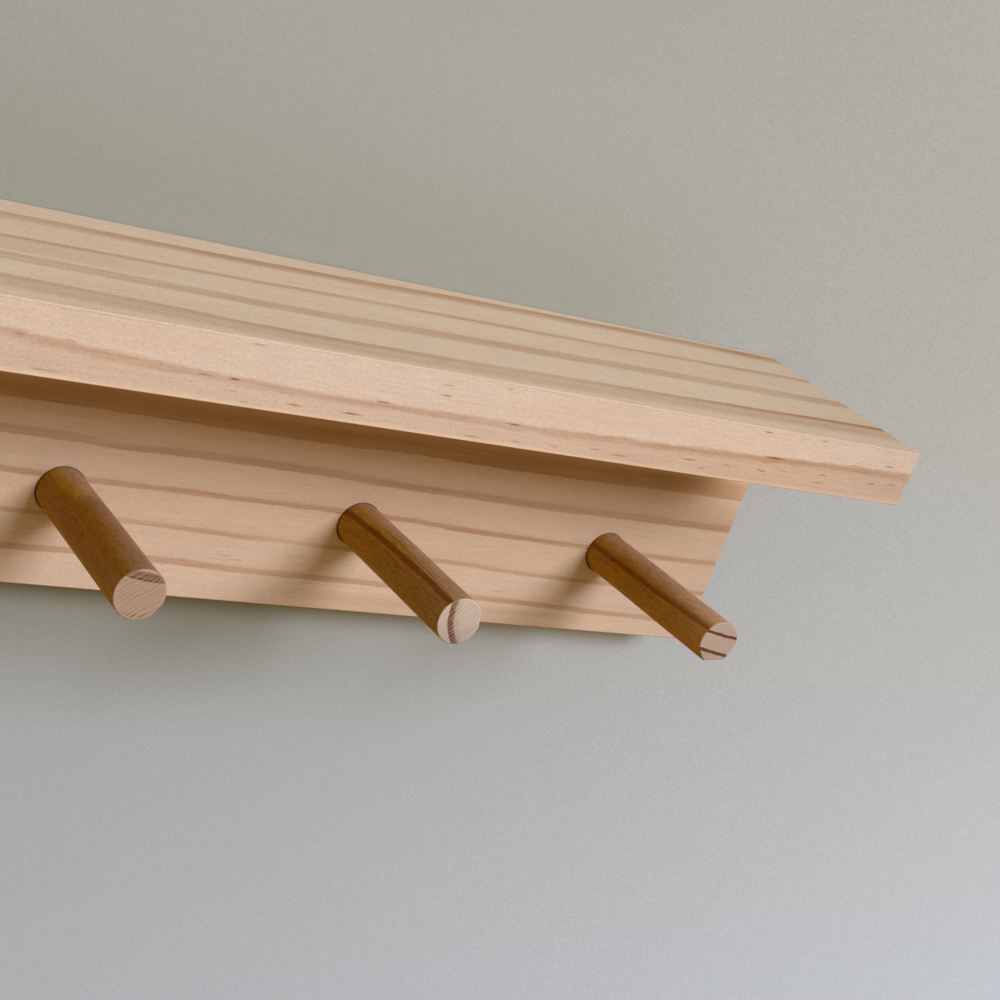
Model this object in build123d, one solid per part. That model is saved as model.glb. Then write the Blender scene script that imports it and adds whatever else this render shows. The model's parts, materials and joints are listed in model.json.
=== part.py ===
"""A wall-hung peg rail with a shelf: two planed pine boards joined with hidden dowels, a row of plain
round pegs bored in at a slight upward lean, and two keyhole hanger plates let into the back.

Millimetres. +X runs along the rail, +Y points into the wall and +Z is up. The origin lies on the wall
plane, half way along the rail, at the height where the wall screws carry the keyhole plates.
Each piece is written to parts/NAME.step as a solid of its own.
"""

from build123d import *
from math import cos, radians, sin, sqrt, tan
import os

# --- Boards -------------------------------------------------------------------------------------
shelf_depth = 92.0
shelf_thickness = 20.5
shelf_overhang = 3.0  # how far each shelf end stands past the rail's end
shelf_back_corner_radius = 4.0  # the two back corners, rounded in plan
rail_height = 96.0
rail_thickness = 20.5
edge_ease = 0.6  # sanded radius of the edges that a hand can reach

# --- Pegs ---------------------------------------------------------------------------------------
peg_count = 5
peg_pitch = 108.0
peg_end_margin = 56.0  # last peg's centre to the rail's end
peg_height = 34.0  # peg line above the rail's bottom edge, measured on the front face
peg_diameter = 16.0
peg_reach = 75.0  # from the rail's face to the tip, along the peg
peg_lean = 2.5  # degrees upward
peg_tip_ease = 0.5
peg_tenon_relief = 0.25  # the glued end is sanded this much smaller in radius
peg_shoulder_gap = 0.5  # the sanding ends this far in front of the rail's face
peg_tenon_chamfer = 1.0
peg_hole_clearance = 0.45  # round the tenon, filled with glue
peg_hole_run_out = 1.0  # how far the bore's cutter passes the face
wood_behind_peg = 4.5  # left between a peg hole's floor and the rail's back

# --- Dowel pins between shelf and rail ----------------------------------------------------------
dowel_diameter = 8.0
dowel_into_shelf = 13.0
dowel_into_rail = 22.0
dowel_end_chamfer = 1.0
dowel_clearance = 0.1
dowel_hole_extra_depth = 1.0
dowel_flutes = 12
dowel_flute_depth = 0.35

# --- Keyhole hanger plates ----------------------------------------------------------------------
hang_height = 26.0  # rail's top edge above the point where the wall screw carries a plate
plate_length = 52.0
plate_width = 18.0
plate_thickness = 2.0
plate_edge_chamfer = 0.2
plate_gap = 0.15  # round the plate, in its recess
plate_sunk = 0.1  # below the rail's back face
keyhole_entry_diameter = 10.0
keyhole_slot_width = 5.0
keyhole_travel = 14.0  # from the entry hole's centre up to the slot's end
pocket_margin = 1.0  # pocket's wall outside the entry hole's edge
pocket_depth = 7.0  # room behind the plate for a wall screw's head

# --- Countersunk screws that hold the plates ----------------------------------------------------
plate_screw_spacing = 40.0
screw_diameter = 3.0
screw_head_diameter = 5.6
screw_length = 12.0
screw_head_rim = 0.2
screw_tip_length = 2.5
screw_recess_width = 0.8
screw_recess_span = 3.0
screw_recess_depth = 1.1
screw_hole_clearance = 0.1
screw_hole_extra_depth = 1.0

# --- Places that follow from the sizes ----------------------------------------------------------
rail_length = (peg_count - 1) * peg_pitch + 2 * peg_end_margin
shelf_length = rail_length + 2 * shelf_overhang
rail_top = hang_height
rail_bottom = rail_top - rail_height
rail_middle_y = -rail_thickness / 2
peg_line = rail_bottom + peg_height
peg_places = [(i - (peg_count - 1) / 2) * peg_pitch for i in range(peg_count)]
peg_seat_depth = rail_thickness - wood_behind_peg
peg_hole_radius = peg_diameter / 2 - peg_tenon_relief + peg_hole_clearance
hanger_place = (peg_count / 2 - 1) * peg_pitch  # half way between the end peg and the next one
plate_middle = -keyhole_travel / 2
plate_back = -plate_sunk  # the plate's outer face
screw_places = {
    "upper": plate_middle + plate_screw_spacing / 2,
    "lower": plate_middle - plate_screw_spacing / 2,
}


# --- Tools for cutting --------------------------------------------------------------------------
def board(length, depth, height, low_corner):
    """A planed board with its lowest corner at low_corner."""
    return Pos(*low_corner) * Box(length, depth, height, align=(Align.MIN, Align.MIN, Align.MIN))


def rod(radius, start, end):
    """A round bar along local Z."""
    return Pos(0, 0, start) * Cylinder(radius, end - start, align=(Align.CENTER, Align.CENTER, Align.MIN))


def turned(points):
    """A solid turned about local Z; points are (radius, height), from one end of the axis to the other."""
    outline = make_face(Polyline(*[(r, 0, h) for r, h in points], close=True))
    return revolve(outline, Axis.Z)


def upright_slot(width, length, depth):
    """A bar with round ends, standing along local Y and rising by depth along local Z."""
    return extrude(Rot(0, 0, 90) * SlotOverall(length, width), depth)


def peg_frame(x):
    """Local Z runs out of the rail along the peg, from the peg line on the front face."""
    lean = radians(peg_lean)
    return Plane(origin=(x, -rail_thickness, peg_line), x_dir=(1, 0, 0), z_dir=(0, -cos(lean), sin(lean)))


def back_frame(x, y, z):
    """Local Z runs out of the back towards the wall, local Y is up."""
    return Plane(origin=(x, y, z), x_dir=(-1, 0, 0), z_dir=(0, 1, 0))


# --- Holes that the boards share with what goes into them ---------------------------------------
def dowel_hole(x, into_board, direction):
    """A blind hole from the joint between shelf and rail, up (+1) or down (-1) into a board."""
    depth = into_board + dowel_hole_extra_depth
    hole = rod(dowel_diameter / 2 + dowel_clearance, 0, depth)
    if direction < 0:
        hole = Rot(180, 0, 0) * hole
    return Pos(x, rail_middle_y, rail_top) * hole


def peg_hole(x):
    """A blind hole with a flat floor, bored along the leaning peg and running out through the face."""
    mouth = peg_hole_radius * tan(radians(peg_lean)) + peg_hole_run_out
    return peg_frame(x).location * rod(peg_hole_radius, -peg_seat_depth, mouth)


def hanger_recess(x):
    """The shallow seat of a keyhole plate, the deeper pocket behind its keyhole and two screw holes."""
    seat_depth = plate_thickness + plate_sunk
    seat = upright_slot(plate_width + 2 * plate_gap, plate_length + 2 * plate_gap, seat_depth)
    recess = back_frame(x, -seat_depth, plate_middle).location * seat
    pocket_width = keyhole_entry_diameter + 2 * pocket_margin
    pocket = upright_slot(pocket_width, pocket_width + keyhole_travel, pocket_depth)
    recess += back_frame(x, -seat_depth - pocket_depth, plate_middle).location * pocket
    hole_radius = screw_diameter / 2 + screw_hole_clearance
    hole_depth = screw_length + screw_hole_extra_depth
    for z in screw_places.values():
        recess += back_frame(x, plate_back, z).location * rod(hole_radius, -hole_depth, 0)
    return recess


# --- Pieces -------------------------------------------------------------------------------------
def shelf_board():
    """The top board: back corners rounded in plan, all outer edges eased, blind dowel holes below."""
    shelf = board(shelf_length, shelf_depth, shelf_thickness, (-shelf_length / 2, -shelf_depth, rail_top))
    upright = shelf.edges().filter_by(Axis.Z).sort_by(Axis.Y)
    shelf = fillet(upright[-2:], shelf_back_corner_radius)
    front_corners = shelf.edges().filter_by(Axis.Z).sort_by(Axis.Y)[:2]
    rims = shelf.faces().sort_by(Axis.Z)[0].edges() + shelf.faces().sort_by(Axis.Z)[-1].edges()
    shelf = fillet(front_corners + rims, edge_ease)
    for x in peg_places:
        shelf -= dowel_hole(x, dowel_into_shelf, 1)
    return shelf


def rail_board():
    """The back board: square under the shelf, eased elsewhere, with its peg, dowel and hanger holes."""
    rail = board(rail_length, rail_thickness, rail_height, (-rail_length / 2, -rail_thickness, rail_bottom))
    corners = rail.edges().filter_by(Axis.Z)
    bottom_rim = rail.faces().sort_by(Axis.Z)[0].edges()
    rail = fillet(corners + bottom_rim, edge_ease)
    for x in peg_places:
        rail -= peg_hole(x)
        rail -= dowel_hole(x, dowel_into_rail, -1)
    for side in (-1, 1):
        rail -= hanger_recess(side * hanger_place)
    return rail


def peg(x):
    """A round peg: a slightly thinner glued end with a chamfer, a straight shaft and an eased tip."""
    shaft = peg_diameter / 2
    tenon = shaft - peg_tenon_relief
    foot = -peg_seat_depth
    outline = [
        (0, foot),
        (tenon - peg_tenon_chamfer, foot),
        (tenon, foot + peg_tenon_chamfer),
        (tenon, peg_shoulder_gap),
        (shaft, peg_shoulder_gap),
        (shaft, peg_reach),
        (0, peg_reach),
    ]
    blank = turned(outline)
    tip = blank.edges().sort_by(Axis.Z)[-1]
    return peg_frame(x).location * fillet(tip, peg_tip_ease)


def joint_dowel(x):
    """A fluted pin with chamfered ends, half in the shelf and half in the rail."""
    radius = dowel_diameter / 2
    ends = (-dowel_into_rail, dowel_into_shelf)
    outline = [
        (0, ends[0]),
        (radius - dowel_end_chamfer, ends[0]),
        (radius, ends[0] + dowel_end_chamfer),
        (radius, ends[1] - dowel_end_chamfer),
        (radius - dowel_end_chamfer, ends[1]),
        (0, ends[1]),
    ]
    pin = turned(outline)
    flute_side = dowel_flute_depth * sqrt(2)
    flute = extrude(Rot(0, 0, 45) * Rectangle(flute_side, flute_side), ends[1] - ends[0])
    for place in PolarLocations(radius, dowel_flutes):
        pin -= Pos(0, 0, ends[0]) * place * flute
    return Pos(x, rail_middle_y, rail_top) * pin


def keyhole_plate(x):
    """A steel strip with round ends: entry hole below, slot above it, and a countersunk hole at each end."""
    plate = upright_slot(plate_width, plate_length, plate_thickness)
    plate = chamfer(plate.faces().sort_by(Axis.Z)[-1].edges(), plate_edge_chamfer)
    half_travel = keyhole_travel / 2
    plate -= Pos(0, -half_travel, 0) * rod(keyhole_entry_diameter / 2, 0, plate_thickness)
    slot_length = keyhole_travel + keyhole_slot_width
    plate -= upright_slot(keyhole_slot_width, slot_length, plate_thickness)
    hole = screw_diameter / 2 + screw_hole_clearance
    sink = screw_head_diameter / 2 + screw_hole_clearance
    sink_floor = hole - sink - screw_head_rim
    outline = [(0, sink_floor), (hole, sink_floor), (sink, -screw_head_rim), (sink, 0), (0, 0)]
    countersink = turned(outline)
    for y in (-plate_screw_spacing / 2, plate_screw_spacing / 2):
        plate -= Pos(0, y, 0) * rod(hole, 0, plate_thickness)
        plate -= Pos(0, y, plate_thickness) * countersink
    return back_frame(x, plate_back - plate_thickness, plate_middle).location * plate


def plate_screw(x, z):
    """A countersunk wood screw with a cross recess, its head level with the plate's outer face."""
    shank = screw_diameter / 2
    head = screw_head_diameter / 2
    neck = shank - head - screw_head_rim
    outline = [
        (0, -screw_length),
        (shank, -screw_length + screw_tip_length),
        (shank, neck),
        (head, -screw_head_rim),
        (head, 0),
        (0, 0),
    ]
    screw = turned(outline)
    for turn in (45, 135):
        recess = Box(screw_recess_span, screw_recess_width, 2 * screw_recess_depth)
        screw -= Rot(0, 0, turn) * recess
    return back_frame(x, plate_back, z).location * screw


# --- The whole object ---------------------------------------------------------------------------
def pieces():
    """Every piece by name, left to right where a piece repeats."""
    named = {"shelf_board": shelf_board(), "rail_board": rail_board()}
    for number, x in enumerate(peg_places, start=1):
        named[f"peg_{number}"] = peg(x)
        named[f"joint_dowel_{number}"] = joint_dowel(x)
    for side, x in (("left", -hanger_place), ("right", hanger_place)):
        named[f"keyhole_plate_{side}"] = keyhole_plate(x)
        for level, z in screw_places.items():
            named[f"plate_screw_{side}_{level}"] = plate_screw(x, z)
    return named


os.makedirs("parts", exist_ok=True)
for name, shape in pieces().items():
    export_step(shape, f"parts/{name}.step")
    print(f"{name}: {shape.volume / 1000:.2f} cm3")
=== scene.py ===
# %% [markdown]
# # A peg rail with a shelf, in bare pine
#
# Two planed boards, five round pegs and the hidden hardware that hangs them on a wall. The packed
# model already holds every piece at its real size. What it lacks is the finish: the growth lines
# that run along the boards, the flecks of resin, the stained sides and raw sawn ends of the pegs,
# and the dull zinc of the hanger plates behind. This lesson adds those, one cell at a time.
#
# Everything is in metres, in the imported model's own frame: X runs along the rail, Y points into the
# wall and Z is up. The wall's face is Y = 0.

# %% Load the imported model
import json
import math
from collections import namedtuple

import bpy
import numpy as np
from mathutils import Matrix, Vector


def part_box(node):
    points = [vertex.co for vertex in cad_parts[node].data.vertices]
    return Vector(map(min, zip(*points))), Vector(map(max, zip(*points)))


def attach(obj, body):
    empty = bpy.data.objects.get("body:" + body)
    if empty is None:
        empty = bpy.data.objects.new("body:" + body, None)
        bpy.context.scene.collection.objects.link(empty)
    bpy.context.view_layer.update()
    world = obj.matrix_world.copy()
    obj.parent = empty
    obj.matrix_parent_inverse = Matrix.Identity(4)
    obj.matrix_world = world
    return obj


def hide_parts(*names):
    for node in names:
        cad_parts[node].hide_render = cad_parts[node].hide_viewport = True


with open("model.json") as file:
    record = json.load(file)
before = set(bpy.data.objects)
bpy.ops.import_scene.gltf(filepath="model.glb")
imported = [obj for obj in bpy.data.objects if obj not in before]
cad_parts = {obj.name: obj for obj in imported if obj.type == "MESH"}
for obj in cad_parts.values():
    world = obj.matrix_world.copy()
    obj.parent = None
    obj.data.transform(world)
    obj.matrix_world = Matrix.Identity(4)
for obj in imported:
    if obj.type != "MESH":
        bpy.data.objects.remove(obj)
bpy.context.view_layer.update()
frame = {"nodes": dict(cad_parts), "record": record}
nodes = frame["nodes"]
mounts = {mount["name"]: mount for mount in frame["record"]["mounts"]}

# %% [markdown]
# ## Writing a finish as sums
#
# A material is a graph of nodes, and a graph is hard to read back. Most of the nodes only add or
# multiply numbers, so a small class wraps a socket and gives it the usual signs: `1 - mask` adds
# one Math node and hands back its result. Every other node comes from one method, which takes the
# node's kind, its settings and what goes into its sockets.


# %% A number at every point of a surface
def sign(operation, swapped=False):
    """A method that adds one Math node; swapped is for a plain number on the left, as in 1 - mask."""

    def method(self, other):
        pair = (other, self) if swapped else (self, other)
        return self.finish.node("Math", {"operation": operation}, dict(enumerate(pair)))

    return method


class Value:
    """The output of a node: a number, a direction or a colour that may differ from point to point."""

    def __init__(self, finish, socket):
        self.finish = finish
        self.socket = socket

    __add__ = __radd__ = sign("ADD")
    __sub__ = sign("SUBTRACT")
    __rsub__ = sign("SUBTRACT", swapped=True)
    __mul__ = __rmul__ = sign("MULTIPLY")
    __truediv__ = sign("DIVIDE")
    __gt__ = sign("GREATER_THAN")
    either = sign("MAXIMUM")
    power = sign("POWER")

    def absolute(self):
        return self.finish.node("Math", {"operation": "ABSOLUTE"}, {0: self})

    def step(self, start, end):
        """0 up to start, 1 from end on, and a smooth rise between them."""
        limits = {"Value": self, "From Min": start, "From Max": end}
        return self.finish.node("MapRange", {"interpolation_type": "SMOOTHSTEP"}, limits)


# %% A material under construction
def linear(red, green, blue):
    """A colour as a screen shows it, 0 to 255, turned into the light that it stands for."""
    shown = np.array([red, green, blue]) / 255
    light = np.where(shown > 0.04045, ((shown + 0.055) / 1.055) ** 2.4, shown / 12.92)
    return (*light.tolist(), 1.0)


class Finish:
    """A material, or the world, whose nodes are added one by one."""

    def __init__(self, owner):
        owner.use_nodes = True
        self.owner = owner
        self.tree = owner.node_tree
        self.tree.nodes.clear()

    def node(self, kind, settings, sockets, output=0):
        """Adds one node: its settings first, then its sockets by name or number; gives one output."""
        node = self.tree.nodes.new("ShaderNode" + kind)
        for name, setting in settings.items():
            if name == "stops":
                draw_stops(node.color_ramp, setting)
            elif name == "points":
                draw_curve(node.mapping, setting)
            else:
                setattr(node, name, setting)
        for name, value in sockets.items():
            if isinstance(value, Value):
                self.tree.links.new(value.socket, node.inputs[name])
            else:
                node.inputs[name].default_value = value
        return Value(self, node.outputs[output])

    def millimetres(self):
        """The place on the object, in millimetres."""
        place = self.node("TexCoord", {}, {}, "Object")
        return self.node("VectorMath", {"operation": "SCALE"}, {0: place, "Scale": 1000.0})

    def parts(self, place):
        """The three numbers of a place."""
        return [self.node("SeparateXYZ", {}, {0: place}, i) for i in range(3)]

    def cloud(self, place, size, detail=1.0):
        """Soft noise from 0 to 1 whose spots are about size long, in millimetres along each axis."""
        shares = tuple(1 / s for s in size)
        squeezed = self.node("VectorMath", {"operation": "MULTIPLY"}, {0: place, 1: shares})
        return self.node("TexNoise", {}, {"Vector": squeezed, "Scale": 1.0, "Detail": detail})

    def stir(self, place, size, amount):
        """The place, pushed about by soft noise of that size, by up to amount along each axis."""
        shares = tuple(1 / s for s in size)
        squeezed = self.node("VectorMath", {"operation": "MULTIPLY"}, {0: place, 1: shares})
        noise = self.node("TexNoise", {}, {"Vector": squeezed, "Scale": 1.0, "Detail": 1.0}, "Color")
        centred = self.node("VectorMath", {"operation": "SUBTRACT"}, {0: noise, 1: (0.5, 0.5, 0.5)})
        pushed = {0: centred, 1: tuple(2 * a for a in amount), 2: place}
        return self.node("VectorMath", {"operation": "MULTIPLY_ADD"}, pushed)

    def blend(self, share, start, end):
        """A colour between start and end."""
        colours = {0: share, 6: start, 7: end}
        return self.node("Mix", {"data_type": "RGBA", "clamp_factor": True}, colours, 2)

    def tint(self, share, colour, kept):
        """A colour under a stain that keeps only a part of its red, green and blue."""
        sockets = {0: share, 6: colour, 7: kept}
        return self.node("Mix", {"data_type": "RGBA", "blend_type": "MULTIPLY"}, sockets, 2)

    def shade(self, colour, factor):
        """A colour made lighter or darker."""
        return self.node("VectorMath", {"operation": "SCALE"}, {0: colour, "Scale": factor})

    def relief(self, height, depth):
        """A normal that follows height, 0 to 1, over a depth in metres."""
        return self.node("Bump", {}, {"Strength": 1.0, "Distance": depth, "Height": height})

    def surface(self, sockets):
        """The finished surface: one Principled shader into the output."""
        shader = self.node("BsdfPrincipled", {}, sockets)
        self.node_output(shader)
        return self.owner

    def node_output(self, shader):
        end = self.tree.nodes.new("ShaderNodeOutputMaterial")
        self.tree.links.new(shader.socket, end.inputs["Surface"])


# %% Ramps, curves and a new material
def draw_stops(ramp, stops):
    """Sets a ramp's stops, given as (place from 0 to 1, grey tone)."""
    while len(ramp.elements) < len(stops):
        ramp.elements.new(1.0)
    for element, (place, tone) in zip(ramp.elements, stops):
        element.position = place
        element.color = (tone, tone, tone, 1.0)


def draw_curve(mapping, points):
    """Sets a curve's points, given as (place, height), both from 0 to 1."""
    curve = mapping.curves[0]
    while len(curve.points) < len(points):
        curve.points.new(0.5, 0.5)
    for point, place in zip(curve.points, points):
        point.location = place
    mapping.update()


def new_finish(name):
    return Finish(bpy.data.materials.new(name))


print("a finish can be written as sums")

# %% [markdown]
# ## What pine looks like
#
# A pine board is a slice through growth rings. Each ring ends in dense late wood, which stops
# sharply on one side and fades into the pale early wood on the other. Where a face cuts the rings
# squarely they show as lines, and where it cuts them at a shallow angle they spread into soft
# zones. A flat picture of stripes would break at every edge, so the finish is worked out through
# the solid: the top, the front and the sawn ends all read one pattern, and meet.
#
# Each growth line is drawn the way one would pencil it on the plank: as a few points along the
# board, joined by a smooth curve, at the line's sharp side. Those points come last in a Line. Before
# them stand the dark core's tone, width and fade, and the tone and reach of the haze behind it. A
# tone that changes along the board is a list of points too.


# %% Growth lines drawn along a board
Line = namedtuple("Line", "dark width fade haze reach points")


def drawn_line(finish, along, half_length, points):
    """A number that changes along the board, from its points (along, number); along is in mm."""
    places = np.array(points, float)
    low, high = places[:, 1].min() - 0.1, places[:, 1].max() + 0.1
    shares = (places - (-half_length, low)) / (2 * half_length, high - low)
    share_along = (along + half_length) / (2 * half_length)
    height = finish.node("FloatCurve", {"points": shares.tolist()}, {"Value": share_along})
    return height * float(high - low) + float(low)


def late_wood(finish, along, through, half_length, edge, lines):
    """The late wood's share at a place that lies along and through the rings, in millimetres."""
    share = along * 0
    for line in lines:
        behind = through - drawn_line(finish, along, half_length, line.points)
        dark = line.dark
        if isinstance(dark, list):
            dark = drawn_line(finish, along, half_length, dark)
        core = (1 - behind.step(line.width, line.width + line.fade)) * dark
        haze = (1 - behind.step(line.reach * 0.3, line.reach)) * line.haze
        share = share.either(behind.step(-edge, edge) * core.either(haze))
    return share


print("a growth line is a", *Line._fields)

# %% [markdown]
# Pine also has resin canals. Cut lengthwise they show as short thin flecks, a few millimetres long.
# The ones that catch the eye are placed one by one, each a slim spindle at its own point. The faint
# ones come from a Voronoi pattern stretched along the grain, which gives one spindle to each cell,
# and a random number per cell keeps only some of them.


# %% Resin flecks
def placed_flecks(finish, place, depth, marks):
    """The darkest of the spindles at marks (along, up, length, tone), on a face at that depth."""
    ragged = finish.stir(place, (1.1, 0.6, 0.4), (0.9, 0.3, 0.2))
    total = None
    for along, up, length, tone in marks:
        spot = {"Location": (along, depth, up), "Scale": (length / 2, 1.2, 0.4)}
        local = finish.node("Mapping", {"vector_type": "TEXTURE"}, {"Vector": ragged, **spot})
        distance = finish.node("VectorMath", {"operation": "LENGTH"}, {0: local}, 1)
        dark = (1 - distance.step(0.25, 1.05)) * tone
        total = dark if total is None else total.either(dark)
    return total


def scattered_flecks(finish, place, cell, girth, share):
    """1 inside the flecks: spindles that fill girth of their cell, in a share of the cells."""
    shares = tuple(1 / c for c in cell)
    squeezed = finish.node("VectorMath", {"operation": "MULTIPLY"}, {0: place, 1: shares})
    sockets = {"Vector": squeezed, "Scale": 1.0, "Randomness": 1.0}
    distance = finish.node("TexVoronoi", {"feature": "F1"}, sockets, "Distance")
    lot = finish.node("TexVoronoi", {"feature": "F1"}, sockets, "Color")
    chosen = finish.node("SeparateColor", {}, {0: lot}) > 1 - share
    return chosen * (1 - distance.step(girth * 0.3, girth))


# %% [markdown]
# ## The boards
#
# Both boards use one recipe, with their own lines. Pale early wood is the ground. The late wood's
# share darkens it towards tan, in strands, because a growth line is a bundle of cell walls rather
# than a stroke of paint, and it deepens and fades slowly along the board. Fine fibres make the planed
# surface look like wood close up, and broad drifts keep the ground from being even. The sawn ends
# are darker, because end grain drinks in light, and show the teeth of the saw. Late wood, resin and
# stain are drawn as tints: each keeps a part of the red, green and blue that the wood under it gives
# back, so it suits pale and pink alike.
#
# The growth lines are read at a place that was stirred three times, from a broad sway to a fine
# tremble, so that no line is quite straight. Holes and edges are read at the true place.

# %% The recipe that both boards share
PALE = linear(209, 176, 147)
PINK = linear(207, 171, 140)
SAPWOOD = linear(218, 189, 166)
SAPWOOD_PINK = linear(215, 184, 159)
LATE_KEEPS = (0.61, 0.41, 0.25, 1.0)  # what late wood leaves of the ground's red, green and blue
RESIN_KEEPS = (0.42, 0.16, 0.05, 1.0)
# what the stain and the painted shade in the pegs' holes keep of the wood's red, green and blue
STAIN_AND_SHADE_KEEPS = (0.34, 0.13, 0.04, 1.0)
END_GRAIN_KEEPS = (0.84, 0.80, 0.74, 1.0)
RING_EDGE = 0.3  # how soft a growth line's sharp side is, in millimetres
SAW_MARKS = 0.5  # how far in from a board's end the saw's marks count, in millimetres
DARKER_END_LENGTH = 80  # the last stretch of a board, a little darker, in millimetres


def pine(name, shape, half_length, marks, mark_depth, share_of_flecks):
    """Bare planed pine. shape gives the place along the board, the late wood's share, the share of
    paler sapwood, the share of stain in the pegs' holes, partly painted shade, and how much lighter a
    place is painted: painted light at some edges."""
    finish = new_finish(name)
    place = finish.millimetres()
    wavy = finish.stir(place, (70, 12, 12), (0, 0.5, 0.5))  # the growth lines sway
    wavy = finish.stir(wavy, (9, 1.6, 1.6), (0, 0.34, 0.34))
    wavy = finish.stir(wavy, (2.2, 0.7, 0.5), (0, 0.24, 0.17))
    along, late_share, sapwood, stain, edge = shape(finish, wavy, place)
    strands = finish.cloud(place, (38, 1.0, 0.7), 3.0)  # bundles of cells within a growth line
    fibres = finish.cloud(place, (1.3, 0.3, 0.3), 2.0)
    tone = finish.cloud(place, (45, 7, 7), 1.0)  # slow changes along a growth line
    late_share = late_share * (strands * 1.1 + fibres * 0.4 + tone * 0.8 - 0.15)

    streaks = finish.cloud(place, (11, 0.7, 0.7), 2.0)  # faint lines in the pale wood
    fuzz = finish.cloud(place, (0.55, 1.2, 0.42), 1.0)  # the nap that a plane leaves
    drift = finish.cloud(place, (120, 22, 22), 2.0)  # pale and pink areas
    dashes = finish.cloud(place, (24, 0.5, 0.5), 2.0).step(0.6, 0.74) * 0.28  # dark threads
    flecks = scattered_flecks(finish, place, (26, 3.2, 3.2), 0.13, share_of_flecks) * 0.5
    if marks:
        flecks = flecks.either(placed_flecks(finish, place, mark_depth, marks))
    sawn = along.absolute().step(half_length - SAW_MARKS, half_length - 0.1)
    teeth = finish.cloud(place, (0.6, 9, 0.5), 1.0)
    darker_ends = along.absolute().step(half_length - DARKER_END_LENGTH, half_length)

    patch = drift.step(0.42, 0.72)
    ground = finish.blend(patch, PALE, PINK)
    wood = finish.blend(sapwood, ground, finish.blend(patch, SAPWOOD, SAPWOOD_PINK))
    wood = finish.tint(late_share.either(dashes), wood, LATE_KEEPS)
    wood = finish.tint(flecks, wood, RESIN_KEEPS)
    # the stain in the pegs' holes, partly painted shade
    wood = finish.tint(stain, wood, STAIN_AND_SHADE_KEEPS)
    wood = finish.tint(sawn, wood, END_GRAIN_KEEPS)
    # edge is painted light: it makes the shelf's lower front edge and the rail's upper right end lighter
    light = 1 + (fibres - 0.5) * 0.26 + (streaks - 0.5) * 0.19 + (fuzz - 0.5) * 0.38 + edge
    light = light + sawn * (teeth - 0.9) * 0.25 - darker_ends * 0.09
    height = fibres * 0.6 + fuzz * 0.4 - late_share * 0.3 + sawn * teeth
    sockets = {
        "Base Color": finish.shade(wood, light),
        "Roughness": 0.62 - late_share * 0.1 + (fibres - 0.5) * 0.1 + stain * 0.35,
        "Normal": finish.relief(height, 0.00004),
        "Specular IOR Level": 0.2,
    }
    return finish.surface(sockets)


# %% [markdown]
# The shelf's rings stand nearly upright, so its top shows straight stripes, and its front edge cuts
# one ring at a shallow angle: pale above, salmon below, with a soft wandering border. Distances are
# measured from the wall forwards. The ring leans, so a place lower down counts as further forward.

# %% The shelf's growth lines
shelf_low, shelf_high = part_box("shelf_board")
shelf_half = 1000 * shelf_high.x
shelf_top = 1000 * shelf_high.z
shelf_front = 1000 * shelf_low.y
SHELF_LEAN = 0.3  # a ring's shift forwards for each millimetre down, at the top
SHELF_BOW = 0.006  # and how fast that shift grows
# Three lines have a core and a wide zone behind it, which share their points.
SECOND_LINE = [
    (-275, 40), (-160, 39), (-60, 37), (-30, 36), (20, 34.4), (70, 32.4), (120, 30.4), (170, 29.1),
    (220, 26.8), (275, 24.4)]
FOURTH_LINE = [
    (-275, 70), (-160, 70.4), (-60, 73.3), (-30, 74.8), (0, 76.4), (20, 78), (50, 78.2), (70, 77.9),
    (95, 77.5), (120, 76.5), (170, 74.5), (220, 72.2), (240, 71.2), (275, 70)]
FIFTH_LINE = [
    (-275, 93.4), (-150, 94), (-50, 94.9), (-30, 95.7), (-10, 96.0), (10, 96.2), (30, 96.45),
    (60, 96.6), (95, 96.65), (120, 96.75), (145, 96.25), (170, 96.0), (195, 95.85), (220, 95.45),
    (240, 95.1), (275, 94.9)]
SHELF_LINES = [
    Line([(-275, 0.58), (-30, 0.6), (60, 0.7), (275, 0.76)], 2.7, 6.0, 0.12, 11, [
        (-275, 19), (-160, 16), (-60, 13.6), (-30, 13.2), (0, 13.2), (20, 12.8), (45, 11.8), (70, 10.7),
        (120, 7.2), (170, 5.1), (220, 3.1), (240, 3), (275, 3.8)]),
    Line(0.54, 2.4, 2.4, 0.1, 9, SECOND_LINE),
    Line([(-275, 0.25), (-30, 0.22), (20, 0.04), (275, 0)], 13.0, 4.0, 0, 1, SECOND_LINE),
    Line(0.44, 6.2, 1.5, 0.04, 9, [
        (-275, 50.6), (-160, 51.6), (-80, 52.6), (-30, 53.6), (20, 54.2), (45, 54.2), (70, 53.2),
        (120, 51.1), (170, 49), (220, 47.5), (275, 45.8)]),
    Line([(-275, 0.5), (0, 0.56), (160, 0.6), (215, 0.92), (275, 0.96)], 2.6, 2.0, 0.1, 8, FOURTH_LINE),
    Line(0.4, 8.5, 5.5, 0, 1, FOURTH_LINE),
    Line([(-275, 0.5), (100, 0.56), (200, 0.72), (275, 0.7)], 0.6, 1.3, 0.08, 6, FIFTH_LINE),
    Line([(-275, 0.27), (100, 0.24), (160, 0.34), (275, 0.34)], 5.0, 5.0, 0, 1, FIFTH_LINE),
    Line(0.5, 1.0, 4.0, 0.2, 12, [(-275, 116), (0, 119), (275, 117)]),
]
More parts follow.
